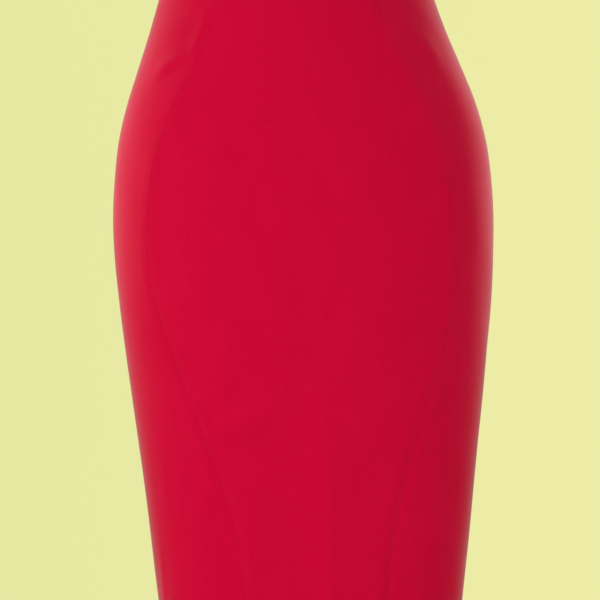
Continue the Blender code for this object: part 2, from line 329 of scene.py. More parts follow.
def add_node(tree, kind, inputs=(), **settings):
    """Adds a shader node of a kind, and sets its properties and its inputs."""
    node = tree.nodes.new("ShaderNode" + kind)
    for key, value in settings.items():
        setattr(node, key, value)
    set_inputs(node, inputs)
    return node


def new_material(name, **sockets):
    """A material with a Principled shader, whose sockets are named with _ for a space."""
    made = bpy.data.materials.new(name)
    made.use_nodes = True
    shader = made.node_tree.nodes["Principled BSDF"]
    set_inputs(shader, {key.replace("_", " "): value for key, value in sockets.items()})
    made.diffuse_color = tuple(shader.inputs["Base Color"].default_value)
    return made, made.node_tree, shader


print("crimson is", [round(v, 3) for v in colour("#C70834")])

# %% [markdown]
# ## Crepe
# Crepe is woven from hard-twisted yarn, which crinkles as it relaxes, so the cloth has fine pebbles in
# place of a clear weave, and hardly any gloss. The yarn's loose fibre ends catch the light where the
# surface turns away, which is the sheen. The real pebbles are about 0.6 mm, too fine to show from where
# the skirt is seen, so a second, coarser noise stands in for them.

# %% Crepe
PEBBLE = 0.6 * MM
SHOWN_PEBBLE = 1.9 * MM  # drawn about three times too coarse, so that it still shows from 3.5 m
THREAD = 0.35 * MM
SLUB = 26 * MM  # patches where the dye took a little more or less, with smaller ones inside them


def wave_scale(pitch):
    """The scale that makes a wave node repeat every pitch: it repeats every 2 pi / (20 scale)."""
    return TURN / (20 * pitch)


def crepe(name, light, deep, roughness, sheen, relief):
    """Dyed crepe: two noises for the pebbles, a wave each way for the threads, and a slow one in tone."""
    made, tree, shader = new_material(
        name,
        Base_Color=light,
        Roughness=roughness,
        Specular_IOR_Level=0.03,
        Sheen_Weight=sheen,
        Sheen_Roughness=0.34,
        Sheen_Tint="#FFD9DC",
    )
    cloth = add_node(tree, "UVMap", uv_map="cloth").outputs["UV"]
    stretched = add_node(tree, "Mapping", {"Vector": cloth, "Scale": (1.0, 0.5, 1.0)}).outputs[0]
    fine, shown, slow = (
        add_node(
            tree,
            "TexNoise",
            {"Vector": stretched, "Scale": 1 / size, "Detail": detail, "Roughness": rough},
        ).outputs["Fac"]
        for size, detail, rough in ((PEBBLE, 2.0, 0.5), (SHOWN_PEBBLE, 3.0, 0.5), (SLUB, 4.0, 0.8))
    )
    warp, weft = (
        add_node(
            tree,
            "TexWave",
            {"Vector": cloth, "Scale": wave_scale(THREAD), "Distortion": 0.6, "Detail": 1.0},
            bands_direction=direction,
        ).outputs["Fac"]
        for direction in ("X", "Y")
    )
    tone = add_node(tree, "Math", {0: shown, 1: 1.1, 2: slow}, operation="MULTIPLY_ADD")
    spread = add_node(tree, "MapRange", {"Value": tone.outputs[0], "From Min": 0.68, "From Max": 1.42})
    dyed = add_node(tree, "Mix", {0: spread.outputs[0], 6: light, 7: deep}, data_type="RGBA")
    threads = add_node(tree, "Math", {0: warp, 1: weft}, operation="MULTIPLY").outputs[0]
    pebbled = add_node(tree, "Math", {0: fine, 1: 0.5, 2: shown}, operation="MULTIPLY_ADD").outputs[0]
    woven = add_node(tree, "Math", {0: threads, 1: 0.12, 2: pebbled}, operation="MULTIPLY_ADD")
    bump = add_node(tree, "Bump", {"Height": woven.outputs[0], "Strength": relief, "Distance": 0.25 * MM})
    set_inputs(shader, {"Base Color": dyed.outputs[2], "Normal": bump.outputs[0]})
    return made


crepe_face = crepe("crimson crepe, right side", "#CD0438", "#C3002F", 0.8, 0.75, 0.3)
crepe_back = crepe("crimson crepe, wrong side", "#C4143C", "#B80D34", 0.88, 0.5, 0.4)
print("made", crepe_face.name, "and", crepe_back.name)

# %% [markdown]
# ## Thread
# The edges and the hem are sewn with polyester thread that is dyed to match. It is spun from two plies and
# smoother than the cloth, so a stitch shows as a fine glint. A slanting wave 0.25 mm long is its twist.

# %% Thread finish
thread_finish, tree, shader = new_material(
    "crimson polyester thread",
    Base_Color="#C20A36",
    Roughness=0.5,
    Specular_IOR_Level=0.25,
    Sheen_Weight=0.15,
    Sheen_Roughness=0.4,
)
place_on = add_node(tree, "TexCoord").outputs["Object"]
twist = {"Vector": place_on, "Scale": wave_scale(0.25 * MM), "Distortion": 1.0}
ply = add_node(tree, "TexWave", twist, bands_direction="DIAGONAL").outputs["Fac"]
bump = add_node(tree, "Bump", {"Height": ply, "Strength": 0.4, "Distance": 0.05 * MM})
set_inputs(shader, {"Normal": bump.outputs[0]})
print("made", thread_finish.name)

# %% [markdown]
# ## Zip tape
# The tape is a plain polyester weave, flatter and a little darker than the crepe. Its warp and its weft are
# two waves. Where both stand high the thread is on top and stands proud, and it is painted lighter there,
# with painted shade in the hollows.

# %% Tape finish
TAPE_WARP = 0.7 * MM
TAPE_WEFT = 0.5 * MM

tape_finish, tree, shader = new_material(
    "crimson polyester zip tape",
    Base_Color="#AE0A30",
    Roughness=0.85,
    Specular_IOR_Level=0.15,
    Sheen_Weight=0.15,
    Sheen_Roughness=0.4,
)
weave_place = add_node(tree, "UVMap", uv_map="cloth").outputs["UV"]
warp, weft = (
    add_node(
        tree,
        "TexWave",
        {"Vector": weave_place, "Scale": wave_scale(pitch), "Distortion": 0.2},
        bands_direction=direction,
    ).outputs["Fac"]
    for direction, pitch in (("X", TAPE_WARP), ("Y", TAPE_WEFT))
)
weave = add_node(tree, "Math", {0: warp, 1: weft}, operation="MULTIPLY").outputs[0]
# painted light and shade: the weave's colour is lighter where the threads stand high and darker in the
# hollows between them
painted_weave_shade = add_node(tree, "Mix", {0: weave, 6: "#9C082A", 7: "#B60C34"}, data_type="RGBA")
bump = add_node(tree, "Bump", {"Height": weave, "Strength": 0.6, "Distance": 0.15 * MM})
set_inputs(shader, {"Base Color": painted_weave_shade.outputs[2], "Normal": bump.outputs[0]})
print("made", tape_finish.name)

# %% [markdown]
# ## Coil and enamel
# The zip's teeth are drawn nylon, smooth and faintly waxy, and scuffed unevenly by use. The slider and the
# pull are zinc under baked enamel. It is glossy, with the slight orange peel that sprayed enamel keeps.

# %% Coil and enamel finishes
coil_finish, tree, shader = new_material(
    "crimson nylon coil", Base_Color="#B40C34", Roughness=0.35, IOR=1.53
)
place_on = add_node(tree, "TexCoord").outputs["Object"]
scuff = add_node(tree, "TexNoise", {"Vector": place_on, "Scale": 900.0}).outputs["Fac"]
rough = add_node(tree, "MapRange", {"Value": scuff, "To Min": 0.28, "To Max": 0.45})
set_inputs(shader, {"Roughness": rough.outputs[0]})

enamel_finish, tree, shader = new_material(
    "crimson enamelled zinc",
    Base_Color="#B90B33",
    Roughness=0.3,
    IOR=1.5,
    Coat_Weight=0.4,
    Coat_Roughness=0.12,
)
place_on = add_node(tree, "TexCoord").outputs["Object"]
peel = add_node(tree, "TexNoise", {"Vector": place_on, "Scale": 700.0, "Detail": 3.0}).outputs["Fac"]
rough = add_node(tree, "MapRange", {"Value": peel, "To Min": 0.24, "To Max": 0.42})
bump = add_node(tree, "Bump", {"Height": peel, "Strength": 0.15, "Distance": 0.05 * MM})
set_inputs(shader, {"Roughness": rough.outputs[0], "Normal": bump.outputs[0]})
print(len(bpy.data.materials), "materials, with the solids' own")

# %% [markdown]
# ## Turning arrays into pieces
# Every piece below is a grid of points, so one function joins neighbouring points into four-sided faces,
# and another makes the mesh. A cloth piece also keeps its place on the cloth as a UV map in metres, which
# the crepe's pattern follows, and a number for each face that picks the right side or the wrong side.

# %% Mesh helpers
def quads(index):
    """The four corners of each cell of an index grid, turned so that rows x columns faces outward."""
    corners = (index[:-1, :-1], index[1:, :-1], index[1:, 1:], index[:-1, 1:])
    return np.stack(corners, axis=-1).reshape(-1, 4)


def round_index(rows, columns):
    """An index grid whose first column comes again after its last, so that its rows are closed rings."""
    index = np.arange(rows * columns).reshape(rows, columns)
    return np.hstack((index, index[:, :1]))


def add_piece(name, points, faces, finishes, kinds=None, cloth_map=None):
    """A smooth mesh object at the origin, with its finishes, each face's kind and its UV map."""
    mesh = bpy.data.meshes.new(name)
    mesh.from_pydata(points.reshape(-1, 3).tolist(), [], [list(face) for face in faces])
    for finish in finishes:
        mesh.materials.append(finish)
    if kinds is not None:
        mesh.polygons.foreach_set("material_index", np.asarray(kinds, np.int32))
    if cloth_map is not None:
        corner = np.zeros(len(mesh.loops), np.int32)
        mesh.loops.foreach_get("vertex_index", corner)
        layer = mesh.uv_layers.new(name="cloth")
        layer.data.foreach_set("uv", cloth_map.reshape(-1, 2)[corner].astype(np.float32).ravel())
    mesh.shade_smooth()
    obj = bpy.data.objects.new(name, mesh)
    bpy.context.scene.collection.objects.link(obj)
    mesh.calc_loop_triangles()
    print(f"{name}: {len(mesh.vertices)} points, {len(mesh.loop_triangles)} triangles")
    return obj

# %% [markdown]
# ## A sheet with two faces
# Cloth is never a cut edge on the outside of a skirt: at a seam, a hem or the top of a band it goes round
# a fold. So every cloth piece here is two faces of the same grid, which close on each other along their
# edges in a quarter round each. It is one closed skin, so it has real thickness from any side.

# %% Closed sheets
ROUND = np.radians((0, 24, 46, 68, 90))  # steps round a fold, from its edge to the flat
NEARLY = 0.96  # how far the faces close at the very edge, so that no face has zero width


def edge_closing(count):
    """How far the faces close on each other in each of a sheet's columns: 1 - sin(angle) round the folds
    at both ends, and not at all between them."""
    closing = np.zeros(count)
    closing[: len(ROUND)] = NEARLY * (1 - np.sin(ROUND))
    closing[-len(ROUND) :] = closing[: len(ROUND)][::-1]
    return closing


def closed_sheet(name, outer, inner, finishes, turned=None):
    """A closed skin over a sheet's two faces, which have the same rows and columns. A face is its rows'
    drops, its points' lengths round, and their distance out of the skirt's surface. Where turned is
    true, the inner face shows the cloth's right side."""
    first, second = on_cloth(*outer), on_cloth(*inner)
    rows, columns = first.shape[:2]
    index = np.arange(2 * rows * columns).reshape(2 * rows, columns)
    skin = quads(np.vstack((index, index[:1])))
    out_edge, in_edge = index[:rows], index[rows:][::-1]
    caps = []
    for column, turn in ((0, 1), (-1, -1)):
        a, b = out_edge[:, column], in_edge[:, column]
        caps.append(np.stack((a[:-1], b[:-1], b[1:], a[1:]), axis=-1)[:, ::turn])
    kinds = np.zeros((2 * rows, columns - 1), int)
    kinds[rows : 2 * rows - 1] = 1
    if turned is not None:
        shown = turned[:-1, :-1] & turned[1:, 1:]
        kinds[rows : 2 * rows - 1][shown[::-1]] = 0
    kinds = np.concatenate((kinds.ravel(), np.zeros(len(caps[0]) + len(caps[1]), int)))
    charts = [joined(a, -d[:, None]) for d, a, _ in (outer, inner)]
    chart = np.concatenate((charts[0], charts[1][::-1]))
    points = np.concatenate((first, second[::-1]))
    return add_piece(name, points, np.concatenate((skin, *caps)), finishes, kinds, chart)


print("a fold has", len(ROUND), "steps")

# %% [markdown]
# ## Creases
# On a close-fitting skirt the cloth pulls in short soft folds from the waist seam to the hip, lies smooth
# over the hips, and bends a little over each thigh. Each crease is drawn as a line on the cloth
# with a ridge along it and a trough beside it. Simulated cloth would put them anywhere, and a fitted
# skirt has only a few, so drawing them gives the right ones.

# %% Crease table
# round and drop of both ends, the crease's width, its height and how far it bows, in millimetres; the
# trough is on the right of somebody walking from the first end to the second
Crease = namedtuple("Crease", "round_1 drop_1 round_2 drop_2 width height bow")
CREASES = (
    # over the right hip bone, under the waistband
    Crease(-146, 98, -100, 80, 6, 1.5, -2),
    Crease(-104, 88, -82, 34, 6, 1.4, 2),
    Crease(-160, 34, -96, 46, 9, -0.9, 0),
    Crease(-148, 140, -104, 118, 8, 0.5, 0),
    # the left hip, much fainter
    Crease(142, 92, 98, 52, 10, 0.8, 2),
    # drag lines over the front of the thighs
    Crease(-104, 436, -10, 376, 13, 2.2, 5),
    Crease(-130, 412, -84, 430, 9, 0.9, 0),
    Crease(-92, 398, -46, 368, 8, 0.5, 0),
    Crease(84, 410, 20, 392, 12, 1.0, 2),
    # upright folds towards the knee
    Crease(-79, 450, -72, 585, 12, -1.3, 0),
    Crease(-134, 490, -137, 436, 5, 0.5, 0),
    Crease(-147, 585, -148, 515, 5, 0.6, 0),
    # the back, from the dart to the side
    Crease(300, 80, 372, 120, 14, 1.4, 4),
    Crease(-300, 76, -368, 122, 14, -1.4, -4),
    Crease(268, 50, 300, 92, 12, 1.2, 3),
    Crease(-270, 48, -304, 88, 12, -1.2, -3),
    # under the seat, and above the slit
    Crease(300, 352, 410, 326, 16, 1.6, -5),
    Crease(-298, 350, -408, 330, 16, -1.6, 5),
    Crease(400, 452, 350, 400, 16, 1.2, 4),
    Crease(-402, 450, -346, 404, 16, -1.2, -4),
)
# upright bends: round and drop of both ends, then how far the bend reaches, its height and its rounding
Bend = namedtuple("Bend", "round_1 drop_1 round_2 drop_2 reach height rounding")
BENDS = (
    Bend(17, 372, 17, 700, 28, 5.0, 3),
    Bend(425, 300, 432, 470, 34, 1.6, 8),
    Bend(-425, 300, -432, 470, 34, 1.6, 8),
)
# the slow unevenness of cloth that isn't stretched: long waves that share no direction, in millimetres
Slack = namedtuple("Slack", "round_pitch drop_pitch start height")
SLACK = (Slack(131, 210, 0.4, 0.16), Slack(-83, 117, 1.9, 0.10), Slack(57, -93, 4.0, 0.06))
print(len(CREASES), "creases and", len(BENDS), "bends, the deepest", max(c.height for c in CREASES), "mm")

# %% [markdown]
# The lift is how far all of these together move the cloth out. A point's place beside a line is found
# once, as a share of its length and a distance to its right, and the line's height depends on those two.

# %% Lift of the cloth
def along_and_across(line, arcs, drops):
    """Where points lie beside a line, as a share of its length and as a distance to its right."""
    x1, y1, x2, y2 = (value * MM for value in line[:4])
    run = math.hypot(x2 - x1, y2 - y1)
    ux, uy = (x2 - x1) / run, (y2 - y1) / run
    return ((arcs - x1) * ux + (drops - y1) * uy) / run, (drops - y1) * ux - (arcs - x1) * uy


def fade(t):
    """1 along most of a line, falling smoothly to 0 at its ends."""
    return np.exp(-(((2 * t - 1) / 0.8) ** 4))


def cloth_lift(drops, arcs):
    """How far the cloth stands out of the skirt's surface. A crease is a bell curve across its line, less
    half of it one and a half widths to the right. A bend is a tent across its line: its height falls away
    as exp(-distance / reach), with its ridge rounded. The slack begins below the waist seam."""
    drops = np.asarray(drops)[:, None]
    lift = np.zeros(arcs.shape)
    for crease in CREASES:
        t, n = along_and_across(crease, arcs, drops)
        n = n / (crease.width * MM) - crease.bow / crease.width * 4 * t * (1 - t)
        lift += crease.height * MM * fade(t) * (bell(n) - 0.5 * bell(n - 1.5))
    for bend in BENDS:
        t, n = along_and_across(bend, arcs, drops)
        away = np.hypot(n, bend.rounding * MM) - bend.rounding * MM
        lift += bend.height * MM * fade(t) * np.exp(-away / (bend.reach * MM))
    slack_share = np.clip((drops - WAIST_SEAM) / (60 * MM), 0, 1)
    for wave in SLACK:
        phase = TURN * (arcs / (wave.round_pitch * MM) + drops / (wave.drop_pitch * MM)) + wave.start
        lift += wave.height * MM * slack_share * np.sin(phase)
    return lift


thigh = cloth_lift([0.405], np.array([[-0.06]]))
print("the crease over the right thigh stands", round(float(thigh[0, 0]) / MM, 1), "mm proud")

# %% [markdown]
# ## The panels
# Five panels make the skirt: one front, two side fronts, and two backs with a dart each. A panel is a
# folded sheet between two seams. Inside, its allowance is pressed back along each seam and its hem is
# turned up, and both show as a second layer with a step at its edge. The rows come first. They stand close
# together over the turn-up's edge, and round the fold of the hem.

# %% Panel rows
ROW_PITCH = 3.0 * MM
TURN_UP_EDGE = HEM - HEM_TURN_UP


def panel_rows():
    """Drops down a panel, and each row's closing, which is 1 - cos(angle) round the fold."""
    count = round((TURN_UP_EDGE - WAIST_SEAM) / ROW_PITCH)
    body = np.linspace(WAIST_SEAM - 0.5 * MM, TURN_UP_EDGE - 2 * MM, count)
    step = TURN_UP_EDGE + np.array((-0.7, -0.2, 0.2, 0.7)) * MM
    turned = np.linspace(TURN_UP_EDGE + 3 * MM, HEM - FOLD, 12)
    angle = ROUND[1:]
    fold = HEM - FOLD + FOLD * np.sin(angle)
    drops = np.concatenate((body, step, turned, fold))
    closing = np.zeros(len(drops))
    closing[-len(angle) :] = NEARLY * (1 - np.cos(angle))
    return drops, closing


print(len(panel_rows()[0]), "rows down a panel")

# %% [markdown]
# Along a seam two panels press on each other. Below the bar tack the centre-back seam opens into the slit,
# and there the allowance widens to a facing. The columns beside a seam stand close together round the
# fold, and again where the allowance ends.

# %% Seam edges
SEAM_ROUND = 0.45 * MM  # how much of a panel's width goes into its rounded edge
SLIT_TOP = HEM - SLIT_LENGTH
WIDENING = 22 * MM  # the length over which an allowance widens to the facing
EDGE_COLUMNS = len(ROUND) + np.array((3, 5, 7))  # before an allowance's edge, on it and past it
CLEAR_COLUMN = 14  # the first column that is clear of the allowance


def is_centre_back(seam):
    """Whether a seam is one of the two names of the centre-back seam, which opens into the slit."""
    return seam.startswith("back_of")


def half_gap(drops, seam):
    """Half the space between two panels: sewn, or the slit, which opens as its share to the power 1.5."""
    opened = np.clip(1 - (HEM - drops) / SLIT_LENGTH, 0, 1) * is_centre_back(seam)
    return TOUCH + (SLIT_GAP / 2 - TOUCH) * opened**1.5


def allowance_width(drops, seam):
    """The allowance pressed back along a seam, which widens to a facing beside the slit."""
    widened = smooth(drops, SLIT_TOP - WIDENING, SLIT_TOP) * is_centre_back(seam)
    return ALLOWANCE + (SLIT_FACING - ALLOWANCE) * widened


def edge_columns(drops, seam):
    """Distances from a seam (rows, columns): round the fold, over the allowance, and down its edge."""
    width = allowance_width(drops, seam)[:, None]
    fold = np.broadcast_to(SEAM_ROUND * (1 - np.cos(ROUND)), (len(drops), len(ROUND)))
    over = SEAM_ROUND + (width - SEAM_ROUND - 0.5 * MM) * np.array((0.12, 0.3, 0.55, 0.8, 1.0))
    down = width + np.array((-0.15, 0.2, 0.6)) * MM
    return np.concatenate((fold, over, down), axis=1)


print("a seam has", edge_columns(np.array([0.3]), "side_left").shape[1], "columns beside it")

# %% [markdown]
# A back panel's dart folds away the cloth that the waist doesn't need, and runs out over the seat. Its
# fold is pressed towards the centre back. Between the seams and the dart the columns are even.

# %% Darts and columns
DART_TAKES = 6 * MM  # half of the cloth that a dart folds away at the waist
DART_POINT = 1.6 * MM  # how wide the columns at its fold stay, where the dart runs out
COLUMN_PITCH = 3.0 * MM


def dart_fold(drops):
    """The share of a dart that is left at each drop, and its fold's width, DART_TAKES times the share."""
    left = np.clip(1 - (drops - WAIST_SEAM) / DART_LENGTH, 0, 1)[:, None]
    return left, np.maximum(DART_TAKES * left, DART_POINT)


def dart_columns(drops, towards):
    """Distances from a dart's line (rows, columns), which follow its fold's edge as that narrows. The
    fold is pressed towards the centre back, which is +1 or -1."""
    _, fold = dart_fold(drops)
    plain = np.array((-2.6, -1.3, -0.6, -0.25, 0.0, 0.25, 0.6)) * MM
    plain = np.broadcast_to(plain, (len(drops), len(plain)))
    beside = np.concatenate((plain, fold + np.array((-0.4, -0.1, 0.2, 0.6)) * MM), axis=1)
    return beside if towards > 0 else -beside[:, ::-1]


def spread(groups):
    """Joins groups of columns by even ones, which are COLUMN_PITCH apart where the gap is widest."""
    parts = [groups[0]]
    for before, after in zip(groups, groups[1:]):
        near = before[:, -1:]
        gap = after[:, :1] - near
        share = np.linspace(0, 1, round(float(gap.max()) / COLUMN_PITCH) + 1)[1:-1]
        parts += [near + gap * share, after]
    return np.concatenate(parts, axis=1)


print("a dart has", dart_columns(np.array([0.1]), 1).shape[1], "columns")

# %% [markdown]
# The second layer shows on both faces: inside as a step, and outside as a faint rise of the cloth over it.
# Along a sewn seam the stitches draw the cloth in by a hair every few millimetres, and the two front seams
# hold the cloth off the body over the hips.

# %% Relief beside seams and darts
PUCKER = 0.10 * MM
PUCKER_PITCH = 11 * MM
PUCKER_REACH = 5 * MM
SHOW_THROUGH = 0.22 * MM  # how much an allowance lifts the cloth over it
EASE = 1.2 * MM  # how softly that lift ends
STEP = 0.35 * MM  # how wide the step at an allowance's edge is
SEAM_REACH = 18 * MM  # how far the cloth bends on either side of a front seam
SEAM_DIP = 0.8 * MM  # lower down it dips instead
# how high it bends there, and the drops between which the bend fades out
SEAM_BENDS = {"front_right": (1.5 * MM, 160 * MM, 380 * MM), "front_left": (2.1 * MM, 290 * MM, 450 * MM)}
DART_GROOVE = (0.5 * MM, 0.55 * MM)  # depth and width of the stitched line
DART_SWELL = (0.5 * MM, 7 * MM)  # height and width of the swelling round it


def raised(distance):
    """The lift of cloth that lies over another layer, where the distance to that layer's edge is below
    zero: the logistic curve 1 / (1 + exp(distance / EASE))."""
    return SHOW_THROUGH / (1 + np.exp(distance / EASE))


def seam_relief(distance, drops, seam):
    """Where a seam's allowance lies behind the cloth, from 0 to 1, and how far the seam lifts the cloth."""
    width = allowance_width(drops, seam)[:, None]
    drops = drops[:, None]
    lift = raised(distance - width)
    wave = np.sin(TURN * drops / PUCKER_PITCH + 2 * np.sin(drops / (23 * MM)))
    lift += PUCKER * wave * bell(distance / PUCKER_REACH)
    if seam in SEAM_BENDS:
        height, fading, faded = SEAM_BENDS[seam]
        lower = smooth(drops, fading, faded)
        lift += height * (1 - lower) * np.exp(-distance / SEAM_REACH)
        lift -= SEAM_DIP * lower * bell(distance / PUCKER_REACH)
    return ramp(width + 0.025 * MM - distance, STEP), lift


def dart_relief(off_line, drops):
    """Where a dart's fold lies behind the cloth, from 0 to 1, and how far the dart lifts the cloth."""
    left, fold = dart_fold(drops)
    depth, groove = DART_GROOVE
    height, swell = DART_SWELL
    lift = height * left * bell(off_line / swell) - depth * left**0.5 * bell(off_line / groove)
    folded = ramp(fold + 0.05 * MM - off_line, 0.3 * MM) * (off_line > -0.1 * MM)
    return folded * np.clip(left * 12, 0, 1), lift


print("an allowance lifts the cloth over it by", round(raised(-0.01) / MM, 2), "mm")

# %% [markdown]
# The panel brings these together. Its outer face closes only part of the way along a sewn edge, where the
# next panel presses on it, and all the way beside the slit and at the hem.

# %% A panel
SEAM_DEPTH = 0.6  # how far a sewn edge goes round on the outside
SECOND_LAYER = 1.1 * MM  # what an allowance or the turn-up adds to the cloth's thickness
THIRD_LAYER = 0.6 * MM  # what an allowance adds inside the turn-up, pressed flat
DART_LAYERS = 1.4 * MM  # what a dart's fold adds


def panel(name, first, last, dart=None):
    """A panel between two seams, and the points of its inner face. The dart is the share of the panel's
    width at which its line runs."""
    drops, hem_fold = panel_rows()
    crossed = seams(drops)
    start = crossed[first] + half_gap(drops, first)
    end = crossed[last] - half_gap(drops, last)
    width = (end - start)[:, None]
    groups = [edge_columns(drops, first), (width - edge_columns(drops, last))[:, ::-1]]
    if dart is not None:
        towards = 1 if last == "back_of_left" else -1
        groups.insert(1, dart * width + dart_columns(drops, towards))
    inside = spread(groups)
    arcs = start[:, None] + inside

    lift = cloth_lift(drops, arcs)
    allowance, folded = np.zeros((2, *arcs.shape))
    for distance, seam in ((inside, first), (width - inside, last)):
        layer, seam_lift = seam_relief(distance, drops, seam)
        allowance = np.maximum(allowance, layer)
        lift += seam_lift
    if dart is not None:
        folded, dart_lift = dart_relief((inside - dart * width) * towards, drops)
        lift += dart_lift
    turned_up = ramp(drops - TURN_UP_EDGE, 0.4 * MM)[:, None]
    lift += raised(TURN_UP_EDGE - drops[:, None])
    turned = np.maximum(allowance, turned_up)
    thickness = LAYER + SECOND_LAYER * turned
    thickness += THIRD_LAYER * np.minimum(allowance, turned_up) + DART_LAYERS * folded

    side_fold = edge_closing(arcs.shape[1])
    depths = [1.0 if is_centre_back(seam) else SEAM_DEPTH for seam in (first, last)]
    outer_fold = side_fold * np.where(np.arange(len(side_fold)) < len(side_fold) / 2, *depths)
    closing, outer_closing = (np.maximum(hem_fold[:, None], fold) for fold in (side_fold, outer_fold))
    outer = (drops, arcs, lift - FOLD * outer_closing)
    inner = (drops, arcs, lift - thickness + (thickness - FOLD) * closing)
    made = closed_sheet(name, outer, inner, (crepe_face, crepe_back), turned > 0.5)
    return made, on_cloth(*inner)


print("the three layers at a dart are", round((LAYER + DART_LAYERS) / MM, 1), "mm thick")

# %% [markdown]
# The table also gives the size that each panel was cut to, though nothing below reads it. The flat sizes
# include the allowances and the turn-up, and come from the sewn cut: the front panel, for one, is 283 mm at
# its widest and 635 mm long when sewn.

# %% Panels
# node, first seam, last seam, the dart's share of the width, the cut's width, length and area
CUTS = (
    ("front_panel", "front_right", "front_left", None, 0.303, 0.683, 0.142),
    ("side_panel_right", "side_right", "front_right", None, 0.157, 0.683, 0.086),
    ("side_panel_left", "front_left", "side_left", None, 0.157, 0.683, 0.086),
    ("back_panel_left", "side_left", "back_of_left", DART_PLACE, 0.264, 0.664, 0.160),
    ("back_panel_right", "back_of_right", "side_right", 1 - DART_PLACE, 0.264, 0.664, 0.160),
)
panel_backs = []
for node, first, last, dart, wide, long, area in CUTS:
    piece, back = panel(f"{node}_cloth", first, last, dart)
    panel_backs.append(back)
    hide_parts(node)
    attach(piece, "skirt")

# %% [markdown]
# ## The waistband
# The band is one strip of the same crepe, folded along its top, with its two lower edges turned in round
# the top of the panels. It is stiffened inside, so it has no creases, only a slight roundness between
# its edges. At the centre back its ends meet below the zip's slider and stand apart beside it.

# %% Waistband profile
BAND_LAYER = 1.2 * MM
BAND_MIDDLE = BAND_WALL / 2 - BAND_PROUD  # inset of the line between its two layers
BAND_SPACE = BAND_WALL / 2 - BAND_LAYER / 2  # from that line to the middle of each layer
BAND_ROWS = 30  # down each layer


def band_profile():
    """The strip's cross-section as a line with a normal, from the inner lower edge up, over the top and
    down to the outer lower edge: up at one inset, round half a circle, down at the other. Returns its
    points (drop, inset), the normals and half the strip's thickness there, which closes at both ends."""
    half = BAND_LAYER / 2
    low, high = WAIST_SEAM - half, BAND_TOP + BAND_WALL / 2
    edge = low + half * np.sin(ROUND[1:])
    down = np.concatenate((np.linspace(high, low, BAND_ROWS), edge))
    turn = np.radians(np.linspace(0, 180, 11))[1:-1]
    drop = np.concatenate((down[::-1], high - BAND_SPACE * np.sin(turn), down))
    side = np.concatenate((np.ones(len(down)), np.cos(turn), -np.ones(len(down))))
    up = np.concatenate((np.zeros(len(down)), -np.sin(turn), np.zeros(len(down))))
    inset = BAND_MIDDLE + BAND_SPACE * side
    closing = np.concatenate((np.zeros(BAND_ROWS), NEARLY * (1 - np.cos(ROUND[1:]))))
    thick = half * (1 - np.concatenate((closing[::-1], np.zeros(len(turn)), closing)))
    return joined(drop, inset), joined(up, side), thick


print(len(band_profile()[0]), "rows round the waistband")

# %% [markdown]
# The band's columns run round the waist from one end to the other. Its outer layer is a little round and
# has two slow ripples, which share no pitch, and both fade out towards the zip.

# %% Waistband
BAND_COLUMNS = 270
BAND_ROUNDNESS = 0.25 * MM
BAND_RIPPLE = 0.10 * MM
RIPPLE_PITCHES = (71 * MM, 193 * MM)
NOTCH = BAND_TOP + 1.0 * MM + SLIDER_LENGTH  # the slider's lower end


def band_face(side):
    """One face of the folded strip, which is the profile moved by its half thickness to that side."""
    line, normal, thick = band_profile()
    drops, inset = (line + normal * side * thick[:, None]).T
    parted = SLIDER_WIDTH / 2 + 0.3 * MM
    gap = parted + (TOUCH - parted) * smooth(drops, NOTCH + 0.3 * MM, NOTCH + 3.8 * MM)
    crossed = seams(drops)
    start, end = crossed["back_of_right"] + gap, crossed["back_of_left"] - gap
    width = (end - start)[:, None]
    rim = np.broadcast_to(BAND_WALL / 2 * (1 - np.cos(ROUND)), (len(drops), len(ROUND)))
    middle = rim[:, -1:] + (width - 2 * rim[:, -1:]) * np.linspace(0, 1, BAND_COLUMNS + 1)[None, 1:-1]
    inside = np.concatenate((rim, middle, (width - rim)[:, ::-1]), axis=1)
    arcs = start[:, None] + inside
    outer_layer = np.clip((BAND_MIDDLE - inset) / BAND_SPACE, 0, 1)[:, None]
    roundness = BAND_ROUNDNESS * np.clip(1 - (drops / WAIST_SEAM) ** 2, 0, 1)[:, None]
    short, long = (TURN * arcs / pitch for pitch in RIPPLE_PITCHES)
    ripple = BAND_RIPPLE * np.sin(short + 1.3) * np.sin(long)
    off_the_zip = np.clip(np.minimum(inside, width - inside) / (30 * MM), 0, 1)
    lift = outer_layer * (roundness + ripple) * off_the_zip
    out = lift - BAND_MIDDLE - (inset[:, None] - BAND_MIDDLE) * (1 - edge_closing(inside.shape[1]))
    return drops, arcs, out


band = closed_sheet("waistband_cloth", band_face(1), band_face(-1), (crepe_face, crepe_back))
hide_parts("waistband")
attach(band, "skirt")

# %% [markdown]
# ## Zip tapes
# Each tape is a woven ribbon sewn to the allowance behind the opening. It lies behind the waistband and
# then behind the back panel, and its inner edge runs through the channel in the slider's side.

# %% Zip tapes
AWAY = {"left": -1, "right": 1}  # how the length round changes on the way out from the centre back
TAPE_INSET = 2.5 * MM
TAPE_THICKNESS = 0.6 * MM


def zip_tape(name, side):
    """A ribbon beside the centre back, from under the band's top to the zip's end."""
    drops = np.linspace(TAPE_TOP, ZIP_END, 94)
    offsets = np.sort(AWAY[side] * (TAPE_NEAR + np.linspace(0, TAPE_WIDTH, 16)))
    arcs = seams(drops)[f"back_of_{side}"][:, None] + offsets
    closing = np.zeros(arcs.shape)
    closing[:, (0, -1)] = closing[(0, -1), :] = 0.9
    face = cloth_lift(drops, arcs) - TAPE_INSET
    outer = (drops, arcs, face - TAPE_THICKNESS / 2 * closing)
    inner = (drops, arcs, face - TAPE_THICKNESS * (1 - closing / 2))
    return closed_sheet(name, outer, inner, (tape_finish, tape_finish))


for side in ("left", "right"):
    tape = zip_tape(f"zip_tape_{side}_weave", side)
    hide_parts(f"zip_tape_{side}")
    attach(tape, "skirt")

